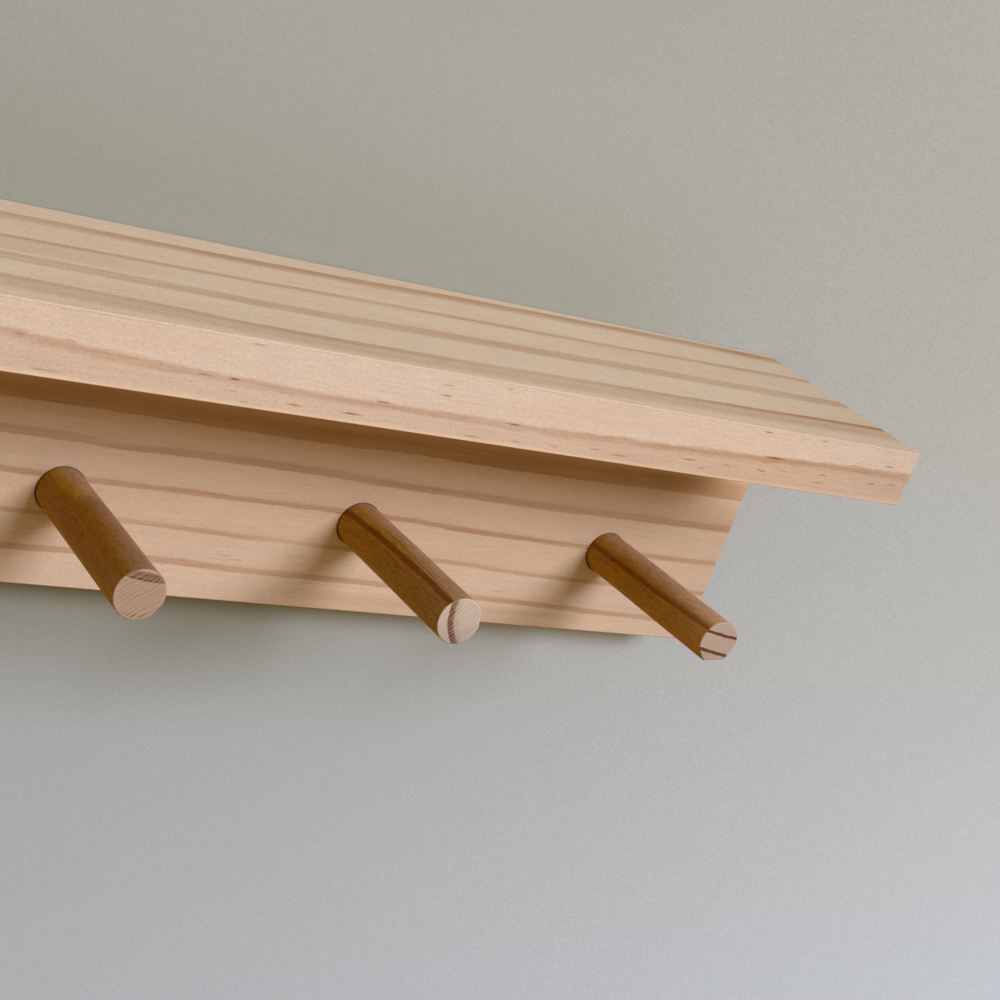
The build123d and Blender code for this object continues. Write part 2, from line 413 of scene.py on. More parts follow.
# along, up, length, tone: the flecks on the front edge
SHELF_FLECKS = [
    (13.9, 44.9, 5, 0.5), (98, 44.5, 5, 0.4), (77.5, 39.2, 5, 0.7), (10, 33.9, 5, 0.8), (1, 33.9, 6, 0.4),
    (10, 30.4, 6, 0.35), (15, 27.8, 3, 0.4), (30, 29.1, 7, 0.6), (48.7, 29.1, 10, 0.8), (58, 34.1, 8, 0.6),
    (85.6, 33.2, 5, 0.3), (104, 33.6, 7, 0.75), (90.5, 27.8, 7, 0.5), (107, 28.2, 5, 0.35),
    (203.4, 44.9, 5.5, 0.7), (229, 45.1, 5, 0.5), (263, 39.8, 7, 0.7), (246.8, 38.2, 3.5, 0.45),
    (210.4, 36.3, 12, 0.85), (175, 31.1, 7, 0.65), (181, 28.9, 4, 0.5), (191, 31.3, 5, 0.4),
    (206.6, 31.2, 6, 0.5), (216.4, 32.2, 5, 0.3), (234, 32.9, 5, 0.55), (234, 30, 9, 0.4),
    (258, 32.6, 5, 0.55), (267.5, 33.3, 7, 0.5), (137, 29.7, 6, 0.45), (147, 28.9, 10, 0.4),
    (121, 28.5, 5, 0.3), (-52, 36.9, 5, 0.4), (-43, 28.2, 12, 0.4),
]


def shelf_shape(finish, wavy, place):
    """The shelf. Its front is sapwood. The upper front edge is painted a little darker, as painted shade
    where its rounded arris catches more of the window's light, and the lower one is painted lighter, as
    painted light on an edge that faces down: how near a place is to an edge at 45 degrees is a sum of y and
    z."""
    x, y, z = finish.parts(wavy)
    down = shelf_top - z
    through = down * down * SHELF_BOW + down * SHELF_LEAN - y
    late_share = late_wood(finish, x, through, shelf_half, RING_EDGE, SHELF_LINES)
    _, y_true, z_true = finish.parts(place)
    front_skin = (0 - y_true).step(-shelf_front - 0.8, -shelf_front - 0.3)
    upper = shelf_top - shelf_front
    lower = 0 - shelf_front - 1000 * shelf_low.z
    # painted shade: the rounded upper front edge, which catches more window light, is tinted darker
    arris_painted_shade = (z_true - y_true).step(upper - 1.0, upper - 0.5) * 0.24
    # painted light: the lower front edge, which faces down into shade, is painted lighter
    below = 0 - z_true - y_true
    lower_edge_painted_light = below.step(lower - 1.8, lower - 0.5) * 0.16 + below.step(lower - 0.62, lower - 0.45) * 0.3
    return x, late_share.either(arris_painted_shade), front_skin, x * 0, lower_edge_painted_light


shelf_pine = pine("planed pine, shelf", shelf_shape, shelf_half, SHELF_FLECKS, shelf_front, 0.05)
print(f"the shelf has {len(SHELF_LINES)} growth lines and {len(SHELF_FLECKS)} flecks by hand")

# %% [markdown]
# The rail is cut from another plank. Its lines run along the face about 13 mm apart, sharp below
# and soft above, and dip a little round a knot that was cut away. Distances are measured from the
# rail's lower edge up. Stain ran down the pegs into their holes, and each hole and a thin ring on the
# face are painted dark: partly that stain, and partly painted shade, weak at the ring's top and strong
# below the peg, where the gap round it lies in shade. The pegs stand at an even pitch, so a Ping-Pong
# node gives the distance sideways to the nearest one.

# %% The rail's growth lines
rail_low, rail_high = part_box("rail_board")
rail_half = 1000 * rail_high.x
rail_foot = 1000 * rail_low.z
rail_face = 1000 * rail_low.y
RAIL_LEAN = 0.35  # how far a line sinks for each millimetre into the board
HOLE_GAP = 0.2  # a hole's radius past its peg's, in millimetres
RING_REACH = 0.55  # and its stained ring's
RAIL_LINES = [
    Line([(-272, 0.3), (60, 0.05), (110, 0.24), (200, 0.26), (225, 0), (272, 0)], 5.0, 3.0, 0, 1, [
        (-272, 3), (0, 1), (272, 0)]),
    Line(0.6, 1.7, 1.0, 0.12, 6, [
        (-272, 22), (-150, 17), (-15, 12), (0, 12.2), (45, 11.9), (60, 11.5), (90, 11), (120, 10.7),
        (165, 8.9), (200, 8.1), (250, 6.9), (272, 6.5)]),
    Line(0.5, 1.3, 1.0, 0.12, 5, [
        (-272, 34), (-150, 30), (-20, 24.5), (25, 24.8), (55, 24.1), (95, 23.5), (120, 22.8), (150, 22),
        (175, 21), (200, 20.4), (240, 20.1), (272, 19.8)]),
    Line([(-272, 0.5), (60, 0.64), (272, 0.54)], 1.5, 1.1, 0.12, 5, [
        (-272, 47), (-150, 43), (-25, 38), (10, 37.7), (55, 37.4), (90, 37), (120, 36.6), (160, 35.2),
        (200, 34.6), (245, 33.4), (272, 33.2)]),
    Line(0.58, 2.2, 1.6, 0.2, 8, [
        (-272, 59), (-150, 55), (-20, 50.6), (0, 50.6), (13, 50), (22, 50), (38, 50.6), (60, 50.4),
        (90, 49.9), (120, 48.8), (160, 48.3), (200, 48.2), (235, 48.4), (272, 48.3)]),
    Line(0.6, 5.0, 4.0, 0.3, 14, [
        (-272, 71), (-150, 67), (-27, 62.5), (0, 62.6), (40, 62.2), (90, 61.7), (120, 62.2), (150, 61.8),
        (180, 61.6), (240, 62.2), (272, 62)]),
    Line(0.5, 2.0, 2.0, 0.15, 8, [(-272, 84), (-100, 78), (0, 75.5), (120, 75), (272, 75)]),
    Line(0.4, 1.6, 2.0, 0.1, 6, [(-272, 97), (-100, 90), (0, 88), (272, 88)]),
]


def hole_stain_and_shade(finish, x, y, z):
    """The share of stain and painted shade: strong in a peg's hole and its thin ring, weak at their top,
    where less shade falls, 0 outside. The distance is measured across the peg, whose line rises by slope
    for each millimetre along y."""
    radius = mounts["peg_3_shaft"]["dims"]["r_mm"]
    out = mounts["peg_3_shaft"]["axis"]
    middle = 1000 * np.array(mounts["peg_3_shaft"]["pos_m"])
    slope = out[2] / out[1]
    pitch = 1000 * (mounts["peg_4_shaft"]["pos_m"][0] - mounts["peg_3_shaft"]["pos_m"][0])
    beside = finish.node("Math", {"operation": "PINGPONG"}, {0: x, 1: pitch / 2})
    above = z - float(middle[2]) - (y - float(middle[1])) * slope
    distance = (beside * beside + above * above).power(0.5)
    inside = 1 - distance.step(radius + HOLE_GAP, radius + RING_REACH)
    # painted shade: the ring is weak at its top and strong below, where the gap round the peg lies in shade
    return inside * (0.9 - above.step(-3, 7) * 0.75)


def rail_shape(finish, wavy, place):
    """The rail. Its lower part is sapwood, and its upper right end, under the shelf's end, is painted
    lighter: painted light, where the window's light reaches round the shelf's end.
    """
    x, y, z = finish.parts(wavy)
    through = z - rail_foot + (y - rail_face) * RAIL_LEAN
    late_share = late_wood(finish, x, through, rail_half, RING_EDGE, RAIL_LINES)
    sapwood = (1 - z.step(-64, -30)) * 0.6
    stain = hole_stain_and_shade(finish, *finish.parts(place))
    # painted light: the rail's upper right end, where light reaches round the shelf's end, is lighter
    painted_light_at_rail_end = x.step(225, 262) * z.step(-16, -3) * 0.32
    return x, late_share, sapwood, stain, painted_light_at_rail_end


# along, up, length, tone: the flecks on the rail's face
RAIL_FLECKS = [(62, -53, 12, 0.3), (66, -54.2, 9, 0.3), (83.5, -48.5, 2, 0.35), (175, -56.6, 9, 0.3)]
rail_pine = pine("planed pine, rail", rail_shape, rail_half, RAIL_FLECKS, rail_face, 0.04)
for name, material in (("shelf_board", shelf_pine), ("rail_board", rail_pine)):
    for slot in nodes[name].material_slots:
        slot.material = material
print(f"the rail has {len(RAIL_LINES)} growth lines")

# %% [markdown]
# ## The pegs
#
# Each peg is a length of stained dowel with a raw sawn tip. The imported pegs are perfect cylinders.
# Real ones are a little out of round, the saw leaves ridges across the tip, and the rim is sanded
# by eye, in places down to a flat. So each peg is worked out as a surface: rows of points along the
# peg, one column for each direction round it, and a centre point at both ends.
#
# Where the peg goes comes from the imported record: its shaft's centre, direction, radius and length.

# %% Where a peg stands
PEG_EASE = 0.5  # millimetres taken off the tip's rim, everywhere
FLAT_LENGTH = 3.5  # how far a flat reaches back from the rim
TENON_LENGTH = 16.5  # from the shoulder to the foot
TENON_RELIEF = 0.25  # the glued part is this much thinner in radius
TENON_CHAMFER = 1.0
TURNS = 160  # points round a peg
SHARP_EDGE = 38  # degrees; a softer edge is shaded smooth


def peg_size(number):
    """A peg's radius, and the distance from its shoulder to its tip, in millimetres."""
    dims = mounts[f"peg_{number}_shaft"]["dims"]
    return dims["r_mm"], dims["length_mm"] + PEG_EASE


def peg_axes(number):
    """The shoulder's centre, and the directions right, up and out of the peg, from the record."""
    mount = mounts[f"peg_{number}_shaft"]
    out = np.array(mount["axis"], float)
    right = np.array([1.0, 0.0, 0.0])
    shoulder = 1000 * np.array(mount["pos_m"]) - out * mount["dims"]["length_mm"] / 2
    return shoulder, right, np.cross(out, right), out


print("peg 3 leaves the rail at", peg_axes(3)[0].round(1).tolist())

# %% [markdown]
# The saw moved straight across the dowel, so its ridges are nearly parallel, but a hand doesn't
# push evenly and they crowd and spread. Their height is a cosine of the distance across them, with
# two slow sines added to its angle. The same numbers are kept on the mesh, because the late wood
# tears in the grooves, and the grooves are painted darker and the ridges lighter: painted shade and
# light of the saw's marks.


# %% The saw's grooves and the flats
def saw_grooves(side, high, number, look):
    """0 on a ridge and 1 in a groove: (1 + cos a) / 2, squared, where a is the distance across the
    ridges in turns of the pitch, plus slow sines of the distances along and across them. A second
    wave, a little coarser and turned by 9 degrees, makes the grooves deep here and shallow there."""
    waves = []
    for turned, coarser in ((0, 1.0), (9, 1.31)):
        bearing = math.radians(look["saw_angle"] + turned)
        length = side * math.cos(bearing) + high * math.sin(bearing)
        across = high * math.cos(bearing) - side * math.sin(bearing)
        turn = 2 * np.pi * across / (look["saw_pitch"] * coarser)
        turn = turn + 0.9 * np.sin(0.55 * length + 2 * number) + 1.1 * np.sin(1.1 * across + number)
        waves.append((1 + np.cos(turn)) / 2)
    return waves[0] ** 2 * (0.25 + 0.75 * waves[1])


def flat_cuts(angle, radius, flats):
    """What the flats take off the tip in each direction. A flat is a straight cut: within half its
    width it takes away radius * (1 - cos(half width) / cos(angle from its middle))."""
    cuts = angle * 0
    for direction, width in flats:
        apart = np.angle(np.exp(1j * (angle - math.radians(direction))))
        half = math.radians(width / 2)
        cuts = np.maximum(cuts, radius * (1 - math.cos(half) / np.cos(np.clip(apart, -half, half))))
    return cuts


# %% The surface of one peg
def peg_surface(number, look):
    """The peg's points (row, turn) and their grooves, and its end points, all in millimetres. Rows
    are (radius, distance out, turn of the rim, share of the way to the centre). The rim is a quarter
    ellipse: r = radius - ease * (1 - cos turn), w = tip - PEG_EASE * (1 - sin turn). A flat starts
    FLAT_LENGTH before the tip and deepens evenly."""
    radius, tip = peg_size(number)
    tenon = radius - TENON_RELIEF
    rows = [(tenon - TENON_CHAMFER, -TENON_LENGTH, 0, 0), (tenon, TENON_CHAMFER - TENON_LENGTH, 0, 0)]
    rows += [(tenon, 0, 0, 0), (radius, 0, 0, 0)]
    rows += [(radius, w, 0, 0) for w in np.linspace(0.4, tip - PEG_EASE - 4.5, 36)]
    rows += [(radius, w, 0, 0) for w in np.linspace(tip - PEG_EASE - 4, tip - PEG_EASE - 0.3, 9)]
    rows += [(radius, tip - PEG_EASE, turn, 0) for turn in np.linspace(0, np.pi / 2, 7)]
    rows += [(radius, tip - PEG_EASE, np.pi / 2, share) for share in np.linspace(0.02, 0.98, 40)]
    rows = np.array(rows, float)
    plain, out_by, turned, inward = (column[:, None] for column in rows.T)
    angle = np.linspace(0, 2 * np.pi, TURNS, endpoint=False)[None, :]
    uneven = 0.035 * np.cos(2 * angle + number) + 0.02 * np.cos(out_by / 9 + 3 * angle)
    uneven = uneven * (out_by > 0)
    worn = np.clip((out_by - tip + PEG_EASE) / FLAT_LENGTH + 1, 0, 1)
    uneven = uneven - flat_cuts(angle, radius, look["flats"]) * worn
    ease = PEG_EASE + 0.1 * np.cos(3 * angle) + 0.08 * np.cos(5 * angle + 1)
    r = plain + uneven - ease * (1 - np.cos(turned))
    r = r * (1 - inward)
    side, high = r * np.cos(angle), r * np.sin(angle)
    groove = saw_grooves(side, high, number, look) * np.minimum(inward * 15, 1)
    w = out_by + PEG_EASE * np.sin(turned) - look["saw_depth"] * groove

    shoulder, right, up, out = peg_axes(number)
    points = shoulder + side[..., None] * right + high[..., None] * up + w[..., None] * out
    return points, groove, shoulder - out * TENON_LENGTH, points[-1].mean(0)


# %% From a grid of points to a mesh
def closed_tube(name, points, foot, tip):
    """A mesh from a grid of points (row, turn, xyz), closed by a fan to a foot and a tip point."""
    rows, turns = points.shape[:2]
    index = np.arange(rows * turns).reshape(rows, turns)
    following = np.roll(index, -1, axis=1)
    quads = np.stack([index[:-1], following[:-1], following[1:], index[1:]], -1).reshape(-1, 4)
    foot_fan = np.stack([following[0], index[0], np.full(turns, rows * turns)], -1)
    tip_fan = np.stack([index[-1], following[-1], np.full(turns, rows * turns + 1)], -1)
    corners = np.concatenate([points.reshape(-1, 3), [foot], [tip]]) / 1000
    mesh = bpy.data.meshes.new(name)
    mesh.from_pydata(corners.tolist(), [], quads.tolist() + foot_fan.tolist() + tip_fan.tolist())
    mesh.polygons.foreach_set("use_smooth", np.ones(len(mesh.polygons), bool))
    mesh.set_sharp_from_angle(angle=math.radians(SHARP_EDGE))
    mesh.update()
    return mesh


# %% [markdown]
# Every dowel was cut from a different plank, so each has its own table. `tilt` turns the rings that
# cross the tip and `bend` curves them, and `tones` lists the late wood's share at distances across
# them, from -9 to 9 mm. Where a ring leaves the side it shows as a dark streak beside a line: the
# line's directions at the shoulder, half way and at the tip, how far out the streak starts and
# stops, the four distances beside the line between which it comes and goes, and its tone. The half
# of each peg away from the window, from the directions in `under` round the bottom, is painted in a
# deeper, shaded copy of the side's colour: painted shade. Towards the tip that painted shade turns
# browner: `worn` is how far it turns. `bleached` is how much lighter the whole side is
# there. `tip` is the raw end's colour and `low_shade` how much darker its bottom is. `flats` are
# straight cuts at the tip: direction and width in degrees. `comb` is how strongly the saw's grooves
# break up the late wood, and `torn` how much of it they tore out at the bottom.

# %% How each peg differs
PEGS = {
    1: dict(
        tilt=62, bend=0.02, saw_angle=52, saw_pitch=1.3, saw_depth=0.03, flats=[(200, 34)],
        tip=(184, 157, 134), comb=0.8, torn=0.2, low_shade=0.1, bleached=0.1, worn=0.6,
        under=(140, 136, 138),
        streaks=[((40, 46, 52), (-9, 90), (-0.8, -0.5, 0.4, 0.8), 0.6),
                 ((150, 146, 142), (-9, 90), (-1.4, -0.6, 0.5, 0.8), 0.8)],
        tones=[(-9, 0.1), (-2.4, 0.08), (-2.0, 0.8), (-1.4, 0.7), (-0.9, 0.1), (5.2, 0.06), (5.6, 0.8),
               (6.6, 0.1)],
    ),
    2: dict(
        tilt=150, bend=0.03, saw_angle=44, saw_pitch=1.2, saw_depth=0.03, flats=[(20, 40)],
        tip=(190, 165, 145), comb=0.6, torn=0.3, low_shade=0.1, bleached=0.1, worn=0.6,
        under=(136, 134, 140),
        streaks=[((200, 196, 190), (-9, 90), (-1.6, -0.8, 0.4, 0.8), 0.8),
                 ((95, 92, 88), (10, 48), (-0.2, 0, 0.2, 0.4), 0.7)],
        tones=[(-9, 0.1), (-5.4, 0.1), (-5.0, 0.75), (-4.4, 0.1), (1.2, 0.05), (1.6, 0.85), (2.4, 0.7),
               (3.0, 0.1)],
    ),
    3: dict(
        tilt=84, bend=0.012, saw_angle=38, saw_pitch=1.25, saw_depth=0.02, flats=[(-35, 34)],
        tip=(174, 143, 119), comb=0.9, torn=1.2, low_shade=0.0, bleached=0.0, worn=0.35,
        under=(131, 122, 142),
        # peg 3's first, wide band darkens its top; out near the tip it is painted shade, where window light
        # is strongest
        streaks=[((96, 98, 104), (20, 90), (-8, -2, 4, 8), 0.55),
                 ((134, 116, 100), (-9, 68), (-0.4, 1.2, 4.5, 8), 0.3),
                 ((168, 166, 160), (-9, 90), (-3.5, 0, 1, 5), 0.3),
                 ((101, 100, 98), (58, 66), (-0.5, 0, 0.1, 0.5), 0.8)],
        tones=[(-9, 0.1), (4.2, 0.08), (4.6, 1.05), (5.4, 0.7), (6.4, 0.95), (7.0, 0.6), (7.4, 0.0),
               (9, 0.0)],
    ),
    4: dict(
        tilt=17.8, bend=0.03, saw_angle=48, saw_pitch=1.15, saw_depth=0.045, flats=[(12, 40)],
        tip=(198, 173, 155), comb=1.0, torn=0.25, low_shade=0.22, bleached=0.0, worn=1.0,
        under=(131, 130, 142),
        streaks=[((146, 131, 130), (-9, 90), (-1.2, -0.7, 0.4, 1.6), 1.25),
                 ((115, 108, 100), (16, 42), (-0.2, 0, 0.2, 0.4), 0.8),
                 ((112, 113, 118), (42, 68), (-0.5, 0, 0.1, 0.5), 0.3)],
        tones=[(-9, 0.04), (-4.6, 0.04), (-4.3, 1.25), (-2.8, 1.2), (-1.9, 0.45), (-1.5, 0.06), (-1.1, 0.4),
               (-0.8, 0.06), (-0.3, 0.22), (0.1, 0.04), (9, 0.06)],
    ),
    5: dict(
        tilt=81, bend=0.0, saw_angle=48, saw_pitch=1.3, saw_depth=0.006,
        flats=[(-84, 66), (-24, 48), (-140, 40)],
        tip=(180, 153, 135), comb=0.0, torn=0.0, low_shade=0.05, bleached=0.34, worn=1.0,
        under=(147, 150, 157),
        streaks=[((161, 156, 144), (-9, 90), (-2.8, -0.6, 0.1, 0.5), 0.9),
                 ((204, 203, 202), (48, 68), (-0.3, 0, 0.2, 0.4), 0.5)],
        tones=[(-9, 0.08), (-4.5, 0.06), (-4.1, 1.0), (-3.3, 1.1), (-2.95, 0.03), (2.5, 0.03), (2.8, 1.05),
               (3.55, 1.15), (3.85, 0.03), (9, 0.03)],
    ),
}
print(f"{len(PEGS)} pegs with {sum(len(look['streaks']) for look in PEGS.values())} streaks")

# %% [markdown]
# The stain soaked into the dowel's side and left the sawn tip bare, so one finish holds both: the
# distance out from the shoulder tells them apart, just inside the sanded rim. The side is satin and
# full of short pores. The tip is matt, and its late wood shows as a comb of dark teeth where the
# saw's grooves cross it.
#
# A streak's line turns slowly round the peg. With its direction as a vector, a cross product gives
# the distance beside the line, and a dot product tells its side of the peg from the far side.

# %% Dark streaks on a peg's side
# painted light and shade: the lit side's colour, its deeper shaded copy, and that copy near the tip
SIDE_LIT_PAINT = linear(174, 133, 97)
SIDE_SHADED_PAINT = linear(171, 122, 12)
SIDE_SHADED_PAINT_TIP = linear(164, 118, 52)  # the deep side near the tip
STREAK_KEEPS = (0.58, 0.38, 0.26, 1.0)
STREAK_FADE = 6  # a streak comes and goes over this length
PORE_KEEPS = (0.55, 0.45, 0.4, 1.0)
TIP_LATE_KEEPS = (0.30, 0.13, 0.06, 1.0)
RING_SPAN = 18.0  # the tones reach from half of this on one side to half of it on the other


def beside_line(finish, side, high, share_out, angles):
    """Millimetres round the peg from a line to a place, and whether both are on the same side. The
    line's direction goes through three angles: at the shoulder, half way out and at the tip."""
    places = [(share / 2, angle / 360) for share, angle in enumerate(angles)]
    turn = finish.node("FloatCurve", {"points": places}, {"Value": share_out}) * (2 * math.pi)
    east = finish.node("Math", {"operation": "COSINE"}, {0: turn})
    north = finish.node("Math", {"operation": "SINE"}, {0: turn})
    return high * east - side * north, (side * east + high * north) > 0


def side_streaks(finish, side, high, far, number, look):
    """The dark streaks: bands beside a line, each between four distances from it."""
    _, tip = peg_size(number)
    total = side * 0
    for angles, span, edges, tone in look["streaks"]:
        beside, facing = beside_line(finish, side, high, far / tip, angles)
        band = beside.step(edges[0], edges[1]) * (1 - beside.step(edges[2], edges[3]))
        comes = far.step(span[0], span[0] + STREAK_FADE)
        goes = far.step(span[1] - STREAK_FADE, span[1])
        total = total.either(band * facing * (comes * (1 - goes)) * tone)
    return total


# %% The finish of one peg
def peg_wood(number, look):
    """Stained side, raw tip. Growth lines cross the tip and fibres run out along the peg."""
    finish = new_finish(f"peg wood {number}")
    shoulder, _, _, out = peg_axes(number)
    radius, tip = peg_size(number)
    stance = {"Location": tuple(shoulder.tolist()), "Rotation": (math.atan2(-out[1], out[2]), 0.0, 0.0)}
    place = finish.node("Mapping", {"vector_type": "TEXTURE"}, {"Vector": finish.millimetres(), **stance})
    wavy = finish.stir(place, (3, 3, 16), (0.3, 0.3, 0))
    wavy = finish.stir(wavy, (0.8, 0.8, 3), (0.12, 0.12, 0))
    side, high, far = finish.parts(wavy)
    mottle = finish.cloud(place, (0.6, 0.6, 1.2), 1.0)  # which also frays the stain's end at the rim
    raw = (far + (mottle - 0.5) * 0.5).step(tip - 0.4, tip - 0.15)
    groove = finish.node("Attribute", {"attribute_name": "groove"}, {}, "Fac")

    cos_tilt = math.cos(math.radians(look["tilt"]))
    sin_tilt = math.sin(math.radians(look["tilt"]))
    along_rings = high * cos_tilt - side * sin_tilt
    across_rings = side * cos_tilt + high * sin_tilt - along_rings * along_rings * look["bend"]
    stops = [((across + RING_SPAN / 2) / RING_SPAN, tone) for across, tone in look["tones"]]
    late_share = finish.node("ValToRGB", {"stops": stops}, {"Fac": across_rings / RING_SPAN + 0.5})

    fibres = finish.cloud(place, (0.45, 0.45, 5), 2.0)
    bands = finish.cloud(place, (2.2, 2.2, 50), 2.0)
    pores = scattered_flecks(finish, place, (1.1, 1.1, 5), 0.3, 0.5)
    streaks = side_streaks(finish, side, high, far, number, look) * (fibres * 0.8 + 0.6)
    # painted shade: the side away from the window is painted in the shaded copy, the lit side in the paler
    # one
    under = beside_line(finish, side, high, far / tip, look["under"])[0].step(-6.5, 0)
    deep = finish.blend(far.step(22, 66) * look["worn"], SIDE_SHADED_PAINT, SIDE_SHADED_PAINT_TIP)
    stained_with_painted_shade = finish.blend(under, SIDE_LIT_PAINT, deep)
    stained_with_painted_shade = finish.tint(streaks.either((bands - 0.5) * 0.7), stained_with_painted_shade, STREAK_KEEPS)
    stained_with_painted_shade = finish.tint(pores * 0.6, stained_with_painted_shade, PORE_KEEPS)
    # the whole side is a little lighter towards the tip
    bleached = far.step(25, 78) * look["bleached"]
    stained_with_painted_shade = finish.shade(stained_with_painted_shade, 1 + (mottle - 0.5) * 0.75 + (fibres - 0.5) * 1.25 + bleached)

    torn = (0 - high).step(radius - 3.0, radius - 1.3) * groove * look["torn"] * 1.6
    comb = groove * (0.6 * look["comb"]) + (1 - 0.38 * look["comb"])
    dark = (late_share * comb * (mottle * 0.9 + 0.55)).either(torn)
    sawn = finish.tint(dark, linear(*look["tip"]), TIP_LATE_KEEPS)
    low = (0 - high).step(-4, radius) * look["low_shade"]
    # painted shade and light: the saw's grooves are painted darker and its ridges lighter
    sawn = finish.shade(sawn, 1 + (mottle - 0.5) * 0.3 + (0.2 - groove) * 0.22 * look["comb"] - low)
    height = (fibres * 0.6 + mottle * 0.4) * (1 - raw) + mottle * raw
    sockets = {
        "Base Color": finish.blend(raw, stained_with_painted_shade, sawn),
        "Roughness": 0.5 + raw * 0.25 + (fibres - 0.5) * 0.12,
        "Normal": finish.relief(height, 0.00006),
        "Specular IOR Level": 0.1,
    }
    return finish.surface(sockets)


# %% Make the five pegs
for number, look in PEGS.items():
    name = f"peg_{number}"
    points, groove, foot, tip = peg_surface(number, look)
    peg = bpy.data.objects.new(f"sawn_{name}", closed_tube(name, points, foot, tip))
    kept = peg.data.attributes.new("groove", "FLOAT", "POINT")
    kept.data.foreach_set("value", np.append(groove.ravel(), [0.0, 0.0]))
    bpy.context.scene.collection.objects.link(peg)
    peg.data.materials.append(peg_wood(number, look))
    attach(peg, "root")
    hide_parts(name)
    print(f"{peg.name}: {len(peg.data.polygons)} faces")

# %% [markdown]
# ## The hidden pieces
#
# Beech dowel pins join the boards, and two zinc plates with two screws each are let into the back.
# Beech is plain and fine with short dark dashes. Zinc plating is a thin bright metal that dulls in
# cloudy patches, and a strip rolled in a mill keeps faint lines along its length.


# %% Beech and zinc
def beech():
    finish = new_finish("raw beech")
    place = finish.millimetres()
    grain = finish.cloud(place, (0.5, 0.5, 18), 2.0)
    dashes = scattered_flecks(finish, place, (0.9, 0.9, 3.5), 0.3, 0.4)
    ground = finish.blend(grain, linear(196, 158, 118), linear(224, 190, 150))
    colour = finish.blend(dashes * 0.5, ground, linear(138, 92, 58))
    fibres = finish.relief(grain, 0.00004)
    return finish.surface({"Base Color": colour, "Roughness": 0.6 + grain * 0.1, "Normal": fibres})


DULL_ZINC = linear(144, 152, 168)


def zinc(name, colour, rolled):
    """Bright plating; rolled is the size of its mill lines, in millimetres."""
    finish = new_finish(name)
    place = finish.millimetres()
    lines = finish.cloud(place, rolled, 2.0)
    patches = finish.cloud(place, (6, 6, 6), 3.0)
    dull = finish.blend(patches.step(0.4, 0.7), colour, DULL_ZINC)
    sockets = {
        "Base Color": finish.shade(dull, (lines - 0.5) * 0.2 + 1),
        "Metallic": 1.0,
        "Roughness": 0.3 + patches * 0.15 + (lines - 0.5) * 0.15,
        "Normal": finish.relief(lines, 0.00002),
    }
    return finish.surface(sockets)


plate_zinc = zinc("zinc plate", linear(186, 196, 214), (0.2, 0.2, 25))
screw_zinc = zinc("zinc screw", linear(198, 202, 210), (0.5, 0.5, 0.5))
raw_beech = beech()
hidden = {"keyhole_plate": plate_zinc, "plate_screw": screw_zinc, "joint_dowel": raw_beech}
for name, piece in nodes.items():
    kind = "_".join(name.split("_")[:2])
    for slot in piece.material_slots:
        slot.material = hidden.get(kind, slot.material)
print("beech and zinc are on")

# %% [markdown]
# ## The wall and the floor
#
# The rail hangs on a painted wall, sage grey and a touch cooler towards the floor. The wall is there
# for the camera alone: it takes the object's shadow, but it neither blocks nor throws light, so the
# back of the rail can be looked at too. Seen from behind it isn't there at all. A real wall grows
# dim in the corner over the shelf and right under the rail, where it sees little of the room. This
# one can't, so both dim patches are painted on, with soft ends beside the rail. To the right, nearer
# the window, the paint is painted lighter, as painted light, and its stipple shows more. The floor is
# pale and plain, and throws no light either: what a floor would throw is part of the room's light.


# %% The wall's paint
PAINT_ABOVE = linear(163, 159, 148)
PAINT_BELOW = linear(180, 183, 189)
ABOVE_KEEPS = (0.816, 0.825, 0.732, 1.0)  # what the paint keeps where the corner over the shelf is dim
UNDER_KEEPS = (0.65, 0.644, 0.542, 1.0)  # and right under the rail


def wall_paint():
    """The paint seen from the front, and nothing at all from behind."""
    finish = new_finish("wall paint")
    place = finish.millimetres()
    x, _, z = finish.parts(place)
    paint = finish.blend(z.step(-420, 189), PAINT_BELOW, PAINT_ABOVE)
    # painted light: the paint grows lighter to the right, towards the window
    paint = finish.shade(paint, 0.747 + x.step(-900, 1300) * 0.697)
    beside = x.step(-420, -290)  # both dim patches fade out left of the rail
    above = (1 - z.step(40, 128)) * z.step(-20, 20) * (1 - x.step(177, 315)) * beside
    paint = finish.tint(above, paint, ABOVE_KEEPS)
    under = z.step(-142, -76) * (1 - z.step(-60, -20)) * (1 - x.step(60, 200)) * beside
    paint = finish.tint(under, paint, UNDER_KEEPS)
    stipple = finish.cloud(place, (0.8, 0.8, 0.8), 2.0)
    paint = finish.shade(paint, 1 + (stipple - 0.5) * (0.18 + x.step(100, 330) * 0.16))
    front = finish.node("BsdfDiffuse", {}, {"Color": paint, "Normal": finish.relief(stipple, 0.00012)})
    behind = finish.node("BsdfTransparent", {}, {})
    from_behind = finish.node("NewGeometry", {}, {}, "Backfacing")
    finish.node_output(finish.node("MixShader", {}, {0: from_behind, 1: front, 2: behind}))
    return finish.owner


# %% The floor's paint, and a wall and a floor that only the camera sees
def floor_paint():
    finish = new_finish("pale floor")
    mottle = finish.cloud(finish.millimetres(), (300, 300, 300), 2.0)
    colour = finish.blend(mottle, linear(198, 194, 186), linear(206, 202, 194))
    return finish.surface({"Base Color": colour, "Roughness": 0.9})


def sheet(name, corners, material):
    """One flat face."""
    mesh = bpy.data.meshes.new(name)
    mesh.from_pydata(corners, [], [(0, 1, 2, 3)])
    piece = bpy.data.objects.new(name, mesh)
    bpy.context.scene.collection.objects.link(piece)
    mesh.materials.append(material)
    return piece


